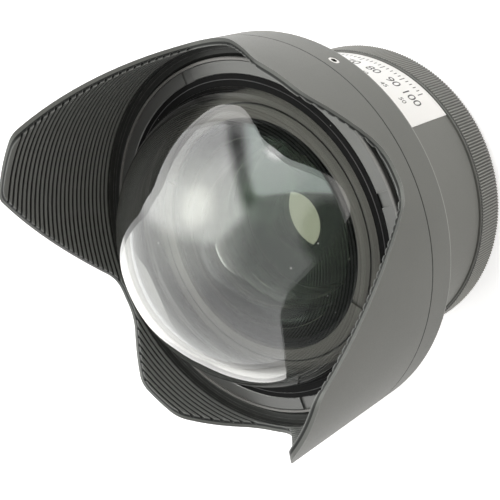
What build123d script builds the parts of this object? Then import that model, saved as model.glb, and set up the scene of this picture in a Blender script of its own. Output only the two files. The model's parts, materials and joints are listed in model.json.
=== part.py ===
from build123d import *
import os
from math import cos, pi, radians, sin, sqrt

os.makedirs("parts", exist_ok=True)

# Wide-angle conversion lens with a domed front glass and a four-petal hood, in millimetres.
# It stands on its rear thread. +Z is the optical axis, from the host lens out to the scene.
# The long hood petals are at +Y and -Y, the short ones at +X and -X.

# Lengths along the axis that add up to the whole lens
thread_length = 4.5
ring_height = 13.7
ring_to_barrel_gap = 0.4
barrel_show = 48.3
hood_ring_height = 12.85
long_petal = 72.7
short_petal = 37.5
valley = 20.5

# Fits and small edges
running_fit = 0.05
screwed_fit = 0.05
glass_fit = 0.05
axial_play = 0.2
bond = 0.02
edge = 0.5
fine_edge = 0.3

# Flat-head screws, in nominal diameters
screw_head_r = 0.94
screw_head_rim = 0.1
screw_head_height = 0.54
screw_point = 0.2
screw_socket_r = 0.36
screw_socket_depth = 0.4
tap_depth = 1.0

# Coupling: the knurled ring turns on the rear hub and carries the threaded adapter
thread_r = 33.5
thread_wall = 4.0
thread_relief = 0.8
thread_relief_depth = 0.6
adapter_flange = 2.5
adapter_ledge = 4.5
coupling_wall = 10.5
captive_lip = 3.5
captive_lip_height = 3.4
lip_play = 0.3
friction_ring_height = 0.5
retainer_height = 3.0
retainer_width = 11.4
retainer_play = 0.6
knurl_stand = 1.3
knurl_pitch = 1.2
knurl_depth = 0.55
knurl_land = 0.4
adapter_screw_size = 2.0
adapter_screw_length = 6.0
adapter_screw_count = 6
retainer_screw_size = 3.0
retainer_screw_length = 9.0
retainer_screw_inset = 4.2
retainer_screw_count = 6

# Barrel and rear flange
head_step = 7.5
barrel_wall = 4.5
flange_height = 5.0
flange_inset = 3.5
flange_ledge_height = 7.0
flange_ledge = 6.5
flange_screw_size = 3.0
flange_screw_length = 10.0
flange_screw_inset = 3.4
flange_screw_angle = 30
flange_screw_count = 6
tube_wall = 4.0
tube_length = 24.4
o_ring_r = 0.9
o_ring_squeeze = 0.05

# Head of the barrel and what clamps the dome
web_above_hood_rear = 10.6
web_height = 5.5
head_height = 17.7
head_rim = 1.05
plate_below_rim = 0.4
plate_width = 4.9
gasket_width = 4.0
gasket_foot = 1.4
gasket_bead = 0.25
wrench_slot_width = 5.1
wrench_slot_depth = 0.9
wrench_slot_angle = 49.0
seat_ring_height = 2.0
seat_groove_inset = 8.8
seat_groove_width = 0.45
seat_slot_angle = 96.0
seat_slot_width = 1.5

# Dome glass
dome_r = 59.5
dome_centre_above_hood_rear = 2.0
dome_edge_inset = 1.5
dome_thickness = 6.2
dome_rim_width = 5.0

# Front cell with the second and third glasses
web_width = 6.0
cell_flange_width = 6.1
cell_flange_height = 4.0
cell_wall = 4.0
second_cell_wall = 1.4
second_edge = 5.0
second_clear = 0.6
second_front_rise = 19.0
second_rim_width = 9.5
second_hollow_rise = 17.6
second_ring_height = 3.2
cell_lip_height = 2.5
third_step = 6.5
third_edge = 10.0
third_rim_width = 3.0
third_front_sag = 4.0
third_rear_sag = 3.5
third_ring_height = 2.4

# Rear group in the tube of the rear flange
rear_glass_r = 29.35
rear_glass_edge = 4.2
rear_glass_bulge = 2.5
rear_glass_sag = 0.8
rear_lock_height = 2.3
rear_lock_width = 2.9
rear_lip = 2.9
rear_lip_height = 1.5
doublet_step = 0.65
positive_edge = 12.4
positive_front_rise = 6.0
positive_rear_sag = 1.5
negative_edge = 11.0
negative_sag = 3.0
doublet_ring_height = 3.0
doublet_ring_width = 5.0
stop_height = 1.0
stop_r = 14.0

# Hood
hood_back_wall = 3.0
hood_bore_play = 0.3
hood_spigot_wall = 2.94
hood_shade_foot = 3.96
hood_shade_wall = 2.6
hood_floor = 16.5
hood_bore_chamfer = 1.2
baffle_depth = 0.9
baffle_pitch = 2.1
baffle_crest = 1.0
baffle_bevel = 0.15
first_baffle = 20.6
foot_baffle = 1.5
foot_groove = 0.8
valley_angle = 35.5
long_flank_slope = 1.20
short_flank_slope = 0.66
long_flank_foot = 8.2
short_flank_foot = 8.8
long_tip_fillet = 5.0
long_valley_fillet = 12.0
short_valley_fillet = 22.0
short_tip_fillet = 12.0
set_screw_height = 7.0
set_screw_r = 2.0
set_screw_length = 8.0
set_socket_r = 1.16
set_socket_depth = 2.7
set_screw_count = 3
set_groove_depth = 1.4
set_groove_side_play = 0.3
set_tip_gap = 0.3

# Blank label wrapped on the barrel
label_thickness = 0.25
label_width = 27.8
label_from_rear = 0.5
label_start_angle = -22.8
label_sweep_angle = 103.0

# Radii worked out from the dome glass outwards, and from the barrel inwards
dome_edge_r = dome_r - dome_edge_inset
dome_hollow_r = dome_edge_r - dome_rim_width
gasket_r = dome_edge_r + gasket_width
head_bore_r = gasket_r + plate_width + screwed_fit
head_r = head_bore_r + head_rim
hood_bore_r = head_r + running_fit
spigot_r = hood_bore_r + hood_spigot_wall
hood_r = spigot_r + screwed_fit + hood_shade_foot
baffle_r = hood_r - hood_shade_wall
barrel_r = head_r - head_step
knurl_r = barrel_r + knurl_stand
journal_r = barrel_r - coupling_wall
hollow_r = barrel_r - barrel_wall
cell_flange_r = hollow_r - web_width
cell_tube_r = cell_flange_r - cell_flange_width
second_r = cell_tube_r - second_cell_wall
second_hollow_r = second_r - second_rim_width
third_r = second_r - third_step
third_clear_r = third_r - third_rim_width
seat_ring_r = cell_tube_r + edge
seat_groove_r = dome_edge_r - seat_groove_inset
doublet_r = rear_glass_r + doublet_step

# Heights worked out from the lengths
seat_z = thread_length
ring_top_z = seat_z + ring_height
barrel_rear_z = ring_top_z + ring_to_barrel_gap
hood_rear_z = barrel_rear_z + barrel_show
joint_z = hood_rear_z + hood_ring_height
floor_z = hood_rear_z + hood_floor
long_tip_z = hood_rear_z + long_petal
head_rear_z = hood_rear_z + hood_back_wall + axial_play
head_top_z = hood_rear_z + head_height
plate_z = head_top_z - plate_below_rim
web_top_z = hood_rear_z + web_above_hood_rear
web_bottom_z = web_top_z - web_height
dome_centre_z = hood_rear_z + dome_centre_above_hood_rear
dome_flat_z = web_top_z + seat_ring_height
set_screw_z = hood_rear_z + set_screw_height


def outline(points, angle=0):
    # Closed outline of (radius, height) points in the half plane at this angle
    half_plane = Plane(
        origin=(0, 0, 0),
        x_dir=(cos(radians(angle)), sin(radians(angle)), 0),
        z_dir=(sin(radians(angle)), -cos(radians(angle)), 0),
    )
    with BuildSketch(half_plane) as section:
        with BuildLine():
            Polyline(*points, close=True)
        make_face()
    return section.sketch


def glass_outline(top, bottom, edge_r, top_edge_z, bottom_edge_z):
    # Half section of a lens. top and bottom are (radius where the sphere starts, height on the axis).
    rim = [(edge_r, top_edge_z), (edge_r, bottom_edge_z)]
    if top[0] < edge_r:
        rim.insert(0, (top[0], top_edge_z))
    if bottom[0] < edge_r:
        rim.append((bottom[0], bottom_edge_z))
    with BuildSketch(Plane.XZ) as section:
        with BuildLine():
            TangentArc((0, top[1]), (top[0], top_edge_z), tangent=(1, 0))
            Polyline(*rim)
            TangentArc((0, bottom[1]), (bottom[0], bottom_edge_z), tangent=(1, 0))
            Line((0, bottom[1]), (0, top[1]))
        make_face()
    return section.sketch


def facing(angle, radius, height):
    # Plane that looks outwards at this angle, with its own y axis upwards
    return Plane(
        origin=(radius * cos(radians(angle)), radius * sin(radians(angle)), height),
        x_dir=(-sin(radians(angle)), cos(radians(angle)), 0),
        z_dir=(cos(radians(angle)), sin(radians(angle)), 0),
    )


def countersunk_screw(size, length):
    # Flat-head screw of this nominal diameter, with its head at height 0 and its point upwards
    with BuildPart() as screw:
        revolve(
            outline(
                [
                    (0, 0),
                    (screw_head_r * size, 0),
                    (screw_head_r * size, screw_head_rim * size),
                    (size / 2, screw_head_height * size),
                    (size / 2, length - screw_point * size),
                    (size / 2 - screw_point * size, length),
                    (0, length),
                ]
            ),
            axis=Axis.Z,
        )
        with BuildSketch(Plane.XY):
            RegularPolygon(screw_socket_r * size, 6)
        extrude(amount=screw_socket_depth * size, mode=Mode.SUBTRACT)
    return screw.part


def countersunk_hole(size, depth):
    # The space that such a screw takes up in the piece under its head, with clearance
    with BuildPart() as hole:
        revolve(
            outline(
                [
                    (0, 0),
                    (screw_head_r * size + screwed_fit, 0),
                    (screw_head_r * size + screwed_fit, screw_head_rim * size + screwed_fit),
                    (size / 2 + screwed_fit, screw_head_height * size + screwed_fit),
                    (size / 2 + screwed_fit, depth),
                    (0, depth),
                ]
            ),
            axis=Axis.Z,
        )
    return hole.part


def tapped_hole(size, depth):
    # The space for the thread of such a screw in the piece that it holds
    with BuildPart() as hole:
        Cylinder(size / 2, depth, align=(Align.CENTER, Align.CENTER, Align.MIN))
    return hole.part


def spots(radius, count, height, start=0):
    # Evenly spaced places on a circle at this height
    step = 360 / count
    return [
        Location((radius * cos(radians(start + k * step)), radius * sin(radians(start + k * step)), height))
        for k in range(count)
    ]


# Coupling: radii and heights
adapter_flange_r = journal_r + adapter_ledge
adapter_top_z = seat_z + adapter_flange
thread_bore_r = thread_r - thread_wall
retainer_z = adapter_top_z + retainer_play
hub_end_z = retainer_z + retainer_height
lip_z = hub_end_z + axial_play
lip_r = journal_r - captive_lip
lip_top_z = lip_z + captive_lip_height
friction_z = lip_top_z + axial_play / 2
shoulder_z = friction_z + friction_ring_height
neck_r = lip_r - lip_play
retainer_r = journal_r - retainer_play
adapter_screw_r = journal_r + adapter_ledge / 2
retainer_screw_r = neck_r - retainer_screw_inset

# Knurled ring: a straight knurl over its whole height, a captive lip inside and a recess behind
knurl_count = round(2 * pi * knurl_r / knurl_pitch)
knurl_root_r = knurl_r - knurl_depth
with BuildPart() as coupling_ring:
    revolve(
        outline(
            [
                (adapter_flange_r + screwed_fit, seat_z),
                (knurl_root_r - fine_edge, seat_z),
                (knurl_root_r, seat_z + fine_edge),
                (knurl_root_r, ring_top_z - fine_edge),
                (knurl_root_r - fine_edge, ring_top_z),
                (journal_r + fine_edge, ring_top_z),
                (journal_r, ring_top_z - fine_edge),
                (journal_r, lip_top_z),
                (lip_r, lip_top_z),
                (lip_r, lip_z),
                (journal_r, lip_z),
                (journal_r, adapter_top_z),
                (adapter_flange_r + screwed_fit, adapter_top_z),
            ]
        ),
        axis=Axis.Z,
    )
    adapter_tap = tapped_hole(adapter_screw_size, adapter_screw_length - adapter_flange + tap_depth)
    with Locations(*spots(adapter_screw_r, adapter_screw_count, adapter_top_z)):
        add(adapter_tap, mode=Mode.SUBTRACT)
    with BuildSketch(Plane.XY.offset(seat_z + knurl_land)):
        with BuildLine():
            teeth = [
                (r * cos(pi * (2 * k + half) / knurl_count), r * sin(pi * (2 * k + half) / knurl_count))
                for k in range(knurl_count)
                for half, r in ((0, knurl_r), (1, knurl_root_r))
            ]
            Polyline(*teeth, close=True)
        make_face()
        Circle(knurl_root_r - knurl_depth, mode=Mode.SUBTRACT)
    extrude(amount=ring_height - 2 * knurl_land)
coupling_ring.part.label = "coupling_ring"
export_step(coupling_ring.part, "parts/coupling_ring.step")

# Adapter with the male mounting thread, screwed into the back of the knurled ring
with BuildPart() as thread_adapter:
    revolve(
        outline(
            [
                (thread_bore_r, 0),
                (thread_r - edge, 0),
                (thread_r, edge),
                (thread_r, seat_z - thread_relief),
                (thread_r - thread_relief_depth, seat_z - thread_relief),
                (thread_r - thread_relief_depth, seat_z),
                (adapter_flange_r, seat_z),
                (adapter_flange_r, adapter_top_z),
                (thread_bore_r, adapter_top_z),
            ]
        ),
        axis=Axis.Z,
    )
    adapter_hole = countersunk_hole(adapter_screw_size, adapter_flange)
    with Locations(*spots(adapter_screw_r, adapter_screw_count, seat_z)):
        add(adapter_hole, mode=Mode.SUBTRACT)
thread_adapter.part.label = "thread_adapter"
export_step(thread_adapter.part, "parts/thread_adapter.step")

with BuildPart() as adapter_screws:
    adapter_screw = countersunk_screw(adapter_screw_size, adapter_screw_length)
    with Locations(*spots(adapter_screw_r, adapter_screw_count, seat_z)):
        add(adapter_screw)
adapter_screws.part.label = "adapter_screws"
export_step(adapter_screws.part, "parts/adapter_screws.step")

# Plate on the end of the hub that keeps the knurled ring on
with BuildPart() as coupling_retainer:
    revolve(
        outline(
            [
                (retainer_r - retainer_width, retainer_z),
                (retainer_r, retainer_z),
                (retainer_r, hub_end_z),
                (retainer_r - retainer_width, hub_end_z),
            ]
        ),
        axis=Axis.Z,
    )
    retainer_hole = countersunk_hole(retainer_screw_size, retainer_height)
    with Locations(*spots(retainer_screw_r, retainer_screw_count, retainer_z)):
        add(retainer_hole, mode=Mode.SUBTRACT)
coupling_retainer.part.label = "coupling_retainer"
export_step(coupling_retainer.part, "parts/coupling_retainer.step")

with BuildPart() as retainer_screws:
    retainer_screw = countersunk_screw(retainer_screw_size, retainer_screw_length)
    with Locations(*spots(retainer_screw_r, retainer_screw_count, retainer_z)):
        add(retainer_screw)
retainer_screws.part.label = "retainer_screws"
export_step(retainer_screws.part, "parts/retainer_screws.step")

# Slippery ring between the captive lip and the shoulder of the hub
with BuildPart() as friction_ring:
    revolve(
        outline(
            [
                (neck_r + 2 * running_fit, friction_z),
                (journal_r - 2 * running_fit, friction_z),
                (journal_r - 2 * running_fit, shoulder_z),
                (neck_r + 2 * running_fit, shoulder_z),
            ]
        ),
        axis=Axis.Z,
    )
friction_ring.part.label = "friction_ring"
export_step(friction_ring.part, "parts/friction_ring.step")

# Rear flange: it closes the barrel, carries the hub and holds the rear glasses in its tube
flange_r = barrel_r - flange_inset
flange_top_z = barrel_rear_z + flange_height
rear_bore_r = rear_glass_r + glass_fit
rear_glass_z = hub_end_z + rear_lock_height + 2 * o_ring_r + 2 * glass_fit
rear_lip_z = rear_glass_z + rear_glass_edge
rear_lip_top_z = rear_lip_z + rear_lip_height
tube_bore_r = doublet_r + glass_fit
tube_top_z = flange_top_z + tube_length
flange_screw_r = flange_r - flange_screw_inset
o_ring_groove_z = barrel_rear_z + flange_height / 2
with BuildPart() as rear_flange:
    revolve(
        outline(
            [
                (rear_bore_r, hub_end_z),
                (neck_r, hub_end_z),
                (neck_r, shoulder_z),
                (journal_r - running_fit, shoulder_z),
                (journal_r - running_fit, barrel_rear_z),
                (flange_r - screwed_fit, barrel_rear_z),
                (flange_r - screwed_fit, o_ring_groove_z - o_ring_r),
                (flange_r - 2 * o_ring_r, o_ring_groove_z - o_ring_r),
                (flange_r - 2 * o_ring_r, o_ring_groove_z + o_ring_r),
                (flange_r - screwed_fit, o_ring_groove_z + o_ring_r),
                (flange_r - screwed_fit, flange_top_z),
                (tube_bore_r + tube_wall, flange_top_z),
                (tube_bore_r + tube_wall, tube_top_z),
                (tube_bore_r, tube_top_z),
                (tube_bore_r, rear_lip_top_z),
                (rear_bore_r - rear_lip, rear_lip_top_z),
                (rear_bore_r - rear_lip, rear_lip_z),
                (rear_bore_r, rear_lip_z),
            ]
        ),
        axis=Axis.Z,
    )
    retainer_tap = tapped_hole(retainer_screw_size, retainer_screw_length - retainer_height + tap_depth)
    with Locations(*spots(retainer_screw_r, retainer_screw_count, hub_end_z)):
        add(retainer_tap, mode=Mode.SUBTRACT)
    flange_hole = countersunk_hole(flange_screw_size, flange_height)
    with Locations(*spots(flange_screw_r, flange_screw_count, barrel_rear_z, flange_screw_angle)):
        add(flange_hole, mode=Mode.SUBTRACT)
rear_flange.part.label = "rear_flange"
export_step(rear_flange.part, "parts/rear_flange.step")

with BuildPart() as flange_screws:
    flange_screw = countersunk_screw(flange_screw_size, flange_screw_length)
    with Locations(*spots(flange_screw_r, flange_screw_count, barrel_rear_z, flange_screw_angle)):
        add(flange_screw)
flange_screws.part.label = "flange_screws"
export_step(flange_screws.part, "parts/flange_screws.step")

with BuildPart() as flange_o_ring:
    with Locations((0, 0, o_ring_groove_z)):
        Torus(flange_r - o_ring_r, o_ring_r - o_ring_squeeze)
flange_o_ring.part.label = "flange_o_ring"
export_step(flange_o_ring.part, "parts/flange_o_ring.step")

# Barrel: a thin shell with a ledge for the rear flange, a web for the front cell and a wide head
flange_ledge_r = flange_r - flange_ledge
cell_shelf_z = web_top_z - cell_flange_height
groove_half = set_screw_r + set_groove_side_play
groove_r = head_r - set_groove_depth
with BuildPart() as barrel:
    revolve(
        outline(
            [
                (flange_r, barrel_rear_z),
                (barrel_r - edge, barrel_rear_z),
                (barrel_r, barrel_rear_z + edge),
                (barrel_r, head_rear_z),
                (head_r - edge, head_rear_z),
                (head_r, head_rear_z + edge),
                (head_r, set_screw_z - groove_half),
                (groove_r, set_screw_z - groove_half),
                (groove_r, set_screw_z + groove_half),
                (head_r, set_screw_z + groove_half),
                (head_r, head_top_z - fine_edge),
                (head_r - fine_edge, head_top_z),
                (head_bore_r, head_top_z),
                (head_bore_r, web_top_z),
                (cell_flange_r, web_top_z),
                (cell_flange_r, cell_shelf_z),
                (cell_tube_r, cell_shelf_z),
                (cell_tube_r, web_bottom_z),
                (hollow_r, web_bottom_z),
                (hollow_r, flange_top_z + flange_ledge_height),
                (flange_ledge_r, flange_top_z + flange_ledge_height),
                (flange_ledge_r, flange_top_z),
                (flange_r, flange_top_z),
            ]
        ),
        axis=Axis.Z,
    )
    flange_tap = tapped_hole(flange_screw_size, flange_screw_length - flange_height + tap_depth)
    with Locations(*spots(flange_screw_r, flange_screw_count, flange_top_z, flange_screw_angle)):
        add(flange_tap, mode=Mode.SUBTRACT)
barrel.part.label = "barrel"
export_step(barrel.part, "parts/barrel.step")

# Label with nothing on it, bent round the barrel
label_z = barrel_rear_z + label_from_rear
with BuildPart() as label_plate:
    revolve(
        outline(
            [
                (barrel_r, label_z),
                (barrel_r + label_thickness, label_z),
                (barrel_r + label_thickness, label_z + label_width),
                (barrel_r, label_z + label_width),
            ],
            label_start_angle,
        ),
        axis=Axis.Z,
        revolution_arc=label_sweep_angle,
    )
label_plate.part.label = "label_plate"
export_step(label_plate.part, "parts/label_plate.step")

# Rear glass, its seal and its slotted lock ring
rear_clear_r = rear_bore_r - rear_lip
with BuildPart() as rear_element:
    revolve(
        glass_outline(
            (rear_clear_r, rear_lip_z - rear_glass_sag),
            (rear_clear_r, rear_glass_z - rear_glass_bulge),
            rear_glass_r,
            rear_lip_z,
            rear_glass_z,
        ),
        axis=Axis.Z,
    )
rear_element.part.label = "rear_element"
export_step(rear_element.part, "parts/rear_element.step")

with BuildPart() as rear_o_ring:
    with Locations((0, 0, rear_glass_z - glass_fit - o_ring_r)):
        Torus(rear_glass_r - o_ring_r, o_ring_r)
rear_o_ring.part.label = "rear_o_ring"
export_step(rear_o_ring.part, "parts/rear_o_ring.step")

with BuildPart() as rear_lock_ring:
    revolve(
        outline(
            [
                (rear_bore_r - screwed_fit - rear_lock_width, hub_end_z),
                (rear_bore_r - screwed_fit, hub_end_z),
                (rear_bore_r - screwed_fit, hub_end_z + rear_lock_height),
                (rear_bore_r - screwed_fit - rear_lock_width, hub_end_z + rear_lock_height),
            ]
        ),
        axis=Axis.Z,
    )
    with BuildSketch(Plane.XY.offset(hub_end_z)):
        Rectangle(2 * rear_bore_r, rear_lock_width / 2)
    extrude(amount=rear_lock_height / 2, mode=Mode.SUBTRACT)
rear_lock_ring.part.label = "rear_lock_ring"
export_step(rear_lock_ring.part, "parts/rear_lock_ring.step")

# Cemented pair in the tube, with its ring and the stop in front of it
positive_top_z = rear_lip_top_z + positive_edge
negative_top_z = positive_top_z + bond + negative_edge
negative_clear_r = doublet_r - doublet_ring_width
with BuildPart() as doublet_positive:
    revolve(
        glass_outline(
            (doublet_r, positive_top_z + positive_front_rise),
            (rear_clear_r, rear_lip_top_z + positive_rear_sag),
            doublet_r,
            positive_top_z,
            rear_lip_top_z,
        ),
        axis=Axis.Z,
    )
doublet_positive.part.label = "doublet_positive"
export_step(doublet_positive.part, "parts/doublet_positive.step")

with BuildPart() as doublet_negative:
    revolve(
        glass_outline(
            (negative_clear_r, negative_top_z - negative_sag),
            (doublet_r, positive_top_z + bond + positive_front_rise),
            doublet_r,
            negative_top_z,
            positive_top_z + bond,
        ),
        axis=Axis.Z,
    )
doublet_negative.part.label = "doublet_negative"
export_step(doublet_negative.part, "parts/doublet_negative.step")

with BuildPart() as doublet_ring:
    revolve(
        outline(
            [
                (negative_clear_r, negative_top_z),
                (tube_bore_r - screwed_fit, negative_top_z),
                (tube_bore_r - screwed_fit, negative_top_z + doublet_ring_height),
                (negative_clear_r + edge, negative_top_z + doublet_ring_height),
            ]
        ),
        axis=Axis.Z,
    )
doublet_ring.part.label = "doublet_ring"
export_step(doublet_ring.part, "parts/doublet_ring.step")

with BuildPart() as aperture_stop:
    revolve(
        outline(
            [
                (stop_r, tube_top_z),
                (tube_bore_r + tube_wall, tube_top_z),
                (tube_bore_r + tube_wall, tube_top_z + stop_height),
                (stop_r + stop_height, tube_top_z + stop_height),
            ]
        ),
        axis=Axis.Z,
    )
aperture_stop.part.label = "aperture_stop"
export_step(aperture_stop.part, "parts/aperture_stop.step")

# Front cell: it hangs in the web of the barrel and holds the second and third glasses
second_top_z = web_top_z - second_ring_height - fine_edge
second_bottom_z = second_top_z - second_edge
cell_lip_z = second_bottom_z - cell_lip_height
third_bottom_z = cell_lip_z - third_edge
cell_bottom_z = third_bottom_z - third_ring_height
cell_lip_r = second_hollow_r + edge
with BuildPart() as front_cell:
    revolve(
        outline(
            [
                (cell_flange_r - screwed_fit, cell_shelf_z),
                (cell_flange_r - screwed_fit, web_top_z),
                (cell_tube_r, web_top_z),
                (cell_tube_r, second_top_z),
                (second_r + glass_fit, second_top_z),
                (second_r + glass_fit, second_bottom_z),
                (cell_lip_r, second_bottom_z),
                (cell_lip_r, cell_lip_z),
                (third_r + glass_fit, cell_lip_z),
                (third_r + glass_fit, cell_bottom_z),
                (third_r + cell_wall, cell_bottom_z),
                (third_r + cell_wall, cell_lip_z),
                (cell_tube_r - screwed_fit, second_bottom_z),
                (cell_tube_r - screwed_fit, cell_shelf_z),
            ]
        ),
        axis=Axis.Z,
    )
front_cell.part.label = "front_cell"
export_step(front_cell.part, "parts/front_cell.step")

second_clear_r = second_r - second_clear
with BuildPart() as second_element:
    revolve(
        glass_outline(
            (second_clear_r, second_top_z + second_front_rise),
            (second_hollow_r, second_bottom_z + second_hollow_rise),
            second_r,
            second_top_z,
            second_bottom_z,
        ),
        axis=Axis.Z,
    )
second_element.part.label = "second_element"
export_step(second_element.part, "parts/second_element.step")

with BuildPart() as second_ring:
    revolve(
        outline(
            [
                (second_clear_r + glass_fit, second_top_z),
                (cell_tube_r - screwed_fit, second_top_z),
                (cell_tube_r - screwed_fit, second_top_z + second_ring_height),
                (second_clear_r + second_clear, second_top_z + second_ring_height),
            ]
        ),
        axis=Axis.Z,
    )
second_ring.part.label = "second_ring"
export_step(second_ring.part, "parts/second_ring.step")

with BuildPart() as third_element:
    revolve(
        glass_outline(
            (third_clear_r, cell_lip_z - third_front_sag),
            (third_clear_r, third_bottom_z + third_rear_sag),
            third_r,
            cell_lip_z,
            third_bottom_z,
        ),
        axis=Axis.Z,
    )
third_element.part.label = "third_element"
export_step(third_element.part, "parts/third_element.step")

with BuildPart() as third_ring:
    revolve(
        outline(
            [
                (third_clear_r + edge, cell_bottom_z),
                (third_r + glass_fit - screwed_fit, cell_bottom_z),
                (third_r + glass_fit - screwed_fit, third_bottom_z),
                (third_clear_r, third_bottom_z),
            ]
        ),
        axis=Axis.Z,
    )
third_ring.part.label = "third_ring"
export_step(third_ring.part, "parts/third_ring.step")

# Dome glass: a deep shell of nearly even thickness with a flat ground rim
dome_edge_z = dome_centre_z + sqrt(dome_r**2 - dome_edge_r**2)
dome_top_z = dome_centre_z + dome_r
with BuildPart() as dome_element:
    revolve(
        glass_outline(
            (dome_edge_r, dome_top_z),
            (dome_hollow_r, dome_top_z - dome_thickness),
            dome_edge_r,
            dome_edge_z,
            dome_flat_z,
        ),
        axis=Axis.Z,
    )
dome_element.part.label = "dome_element"
export_step(dome_element.part, "parts/dome_element.step")

# Seat ring under the dome: it clamps the front cell and shows through the glass
seat_ring_outer_r = dome_edge_r - glass_fit
with BuildPart() as dome_seat_ring:
    revolve(
        outline(
            [
                (seat_ring_r, web_top_z),
                (seat_ring_outer_r, web_top_z),
                (seat_ring_outer_r, dome_flat_z),
                (seat_groove_r + seat_groove_width / 2, dome_flat_z),
                (seat_groove_r + seat_groove_width / 2, dome_flat_z - seat_groove_width),
                (seat_groove_r - seat_groove_width / 2, dome_flat_z - seat_groove_width),
                (seat_groove_r - seat_groove_width / 2, dome_flat_z),
                (seat_ring_r, dome_flat_z),
            ]
        ),
        axis=Axis.Z,
    )
    with BuildSketch(Plane.XY.offset(dome_flat_z)):
        with PolarLocations(seat_ring_r, 2, seat_slot_angle):
            Rectangle(2 * (seat_groove_r - seat_ring_r), seat_slot_width)
    extrude(amount=-seat_ring_height / 2, mode=Mode.SUBTRACT)
dome_seat_ring.part.label = "dome_seat_ring"
export_step(dome_seat_ring.part, "parts/dome_seat_ring.step")

# Rubber gasket round the dome, with a foot under the front ring and a lip over the edge of the glass
gasket_top_z = plate_z - fine_edge / 2
gasket_lip_r = sqrt(dome_r**2 - (gasket_top_z - dome_centre_z) ** 2) + glass_fit
foot_top_z = web_top_z + gasket_foot
bead_r = dome_edge_r + gasket_width / 2
with BuildPart() as dome_gasket:
    revolve(
        outline(
            [
                (dome_edge_r + glass_fit, web_top_z),
                (head_bore_r - edge, web_top_z),
                (head_bore_r - edge, foot_top_z),
                (gasket_r - screwed_fit, foot_top_z),
                (gasket_r - screwed_fit, gasket_top_z),
                (bead_r + gasket_bead, gasket_top_z),
                (bead_r, gasket_top_z + gasket_bead),
                (bead_r - gasket_bead, gasket_top_z),
                (gasket_lip_r, gasket_top_z),
                (dome_edge_r + glass_fit, dome_edge_z + glass_fit),
            ]
        ),
        axis=Axis.Z,
    )
dome_gasket.part.label = "dome_gasket"
export_step(dome_gasket.part, "parts/dome_gasket.step")

# Front ring with four wrench slots, screwed into the head over the foot of the gasket
with BuildPart() as front_ring:
    revolve(
        outline(
            [
                (gasket_r, foot_top_z),
                (head_bore_r - screwed_fit, foot_top_z),
                (head_bore_r - screwed_fit, plate_z - fine_edge),
                (head_bore_r - screwed_fit - fine_edge, plate_z),
                (gasket_r + fine_edge, plate_z),
                (gasket_r, plate_z - fine_edge),
            ]
        ),
        axis=Axis.Z,
    )
    with BuildSketch(Plane.XY.offset(plate_z)):
        with PolarLocations(gasket_r + plate_width / 2, 4, wrench_slot_angle):
            Rectangle(2 * plate_width, wrench_slot_width)
    extrude(amount=-wrench_slot_depth, mode=Mode.SUBTRACT)
front_ring.part.label = "front_ring"
export_step(front_ring.part, "parts/front_ring.step")

# Hood ring: it turns on the head of the barrel and holds the set screws
with BuildPart() as hood_ring:
    revolve(
        outline(
            [
                (barrel_r + hood_bore_play, hood_rear_z),
                (hood_r - edge, hood_rear_z),
                (hood_r, hood_rear_z + edge),
                (hood_r, joint_z - fine_edge),
                (hood_r - fine_edge, joint_z),
                (spigot_r, joint_z),
                (spigot_r, floor_z),
                (hood_bore_r + hood_bore_chamfer, floor_z),
                (hood_bore_r, floor_z - hood_bore_chamfer),
                (hood_bore_r, hood_rear_z + hood_back_wall),
                (barrel_r + hood_bore_play, hood_rear_z + hood_back_wall),
            ]
        ),
        axis=Axis.Z,
    )
    for k in range(set_screw_count):
        with BuildSketch(facing(k * 360 / set_screw_count, head_r - set_groove_depth, set_screw_z)):
            Circle(set_screw_r)
        extrude(amount=hood_r - groove_r + edge, mode=Mode.SUBTRACT)
hood_ring.part.label = "hood_ring"
export_step(hood_ring.part, "parts/hood_ring.step")

# Set screws that hold the hood at the angle it is turned to
set_tip_r = groove_r + set_tip_gap
with BuildPart() as set_screws:
    for k in range(set_screw_count):
        with BuildSketch(facing(k * 360 / set_screw_count, set_tip_r, set_screw_z)):
            Circle(set_screw_r - screwed_fit)
        extrude(amount=set_screw_length)
        with BuildSketch(facing(k * 360 / set_screw_count, set_tip_r + set_screw_length, set_screw_z)):
            RegularPolygon(set_socket_r, 6)
        extrude(amount=-set_socket_depth, mode=Mode.SUBTRACT)
set_screws.part.label = "set_screws"
export_step(set_screws.part, "parts/set_screws.step")


def baffle_wall():
    # Inner wall of the hood from the tips down: ridges one pitch apart, and a wider one at the foot
    count = int((long_petal - first_baffle) / baffle_pitch)
    lower_edge = hood_rear_z + first_baffle + baffle_crest / 2
    points = []
    for k in reversed(range(count)):
        lower = lower_edge + k * baffle_pitch
        upper = lower + baffle_pitch - baffle_crest
        points += [
            (baffle_r, upper),
            (baffle_r + baffle_depth, upper - baffle_bevel),
            (baffle_r + baffle_depth, lower + baffle_bevel),
            (baffle_r, lower),
        ]
    groove_top = lower_edge - foot_baffle
    points += [
        (baffle_r, groove_top),
        (baffle_r + baffle_depth, groove_top - baffle_bevel),
        (baffle_r + baffle_depth, groove_top - foot_groove + baffle_bevel),
        (baffle_r, groove_top - foot_groove),
    ]
    return points


def valley_outline(side):
    # What is milled away between two petals, seen along the radius through the valley.
    # side is 1 where the long petal lies towards higher angles, and -1 where it lies towards lower ones.
    long_span = hood_r * sin(radians(90 - valley_angle)) + edge
    short_span = hood_r * sin(radians(valley_angle)) + edge
    long_top = long_flank_foot + (long_petal - valley) / long_flank_slope
    short_top = short_flank_foot + (short_petal - valley) / short_flank_slope
    above = long_petal + 4 * edge
    corners = [
        (-side * short_span, short_petal),
        (-side * short_top, short_petal),
        (-side * short_flank_foot, valley),
        (side * long_flank_foot, valley),
        (side * long_top, long_petal),
        (side * long_span, long_petal),
    ]
    radii = [short_tip_fillet, short_valley_fillet, long_valley_fillet, long_tip_fillet]
    with BuildLine() as rim:
        FilletPolyline(*corners, radius=radii)
        Polyline(corners[-1], (side * long_span, above), (-side * short_span, above), corners[0])
    return rim.line


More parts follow.
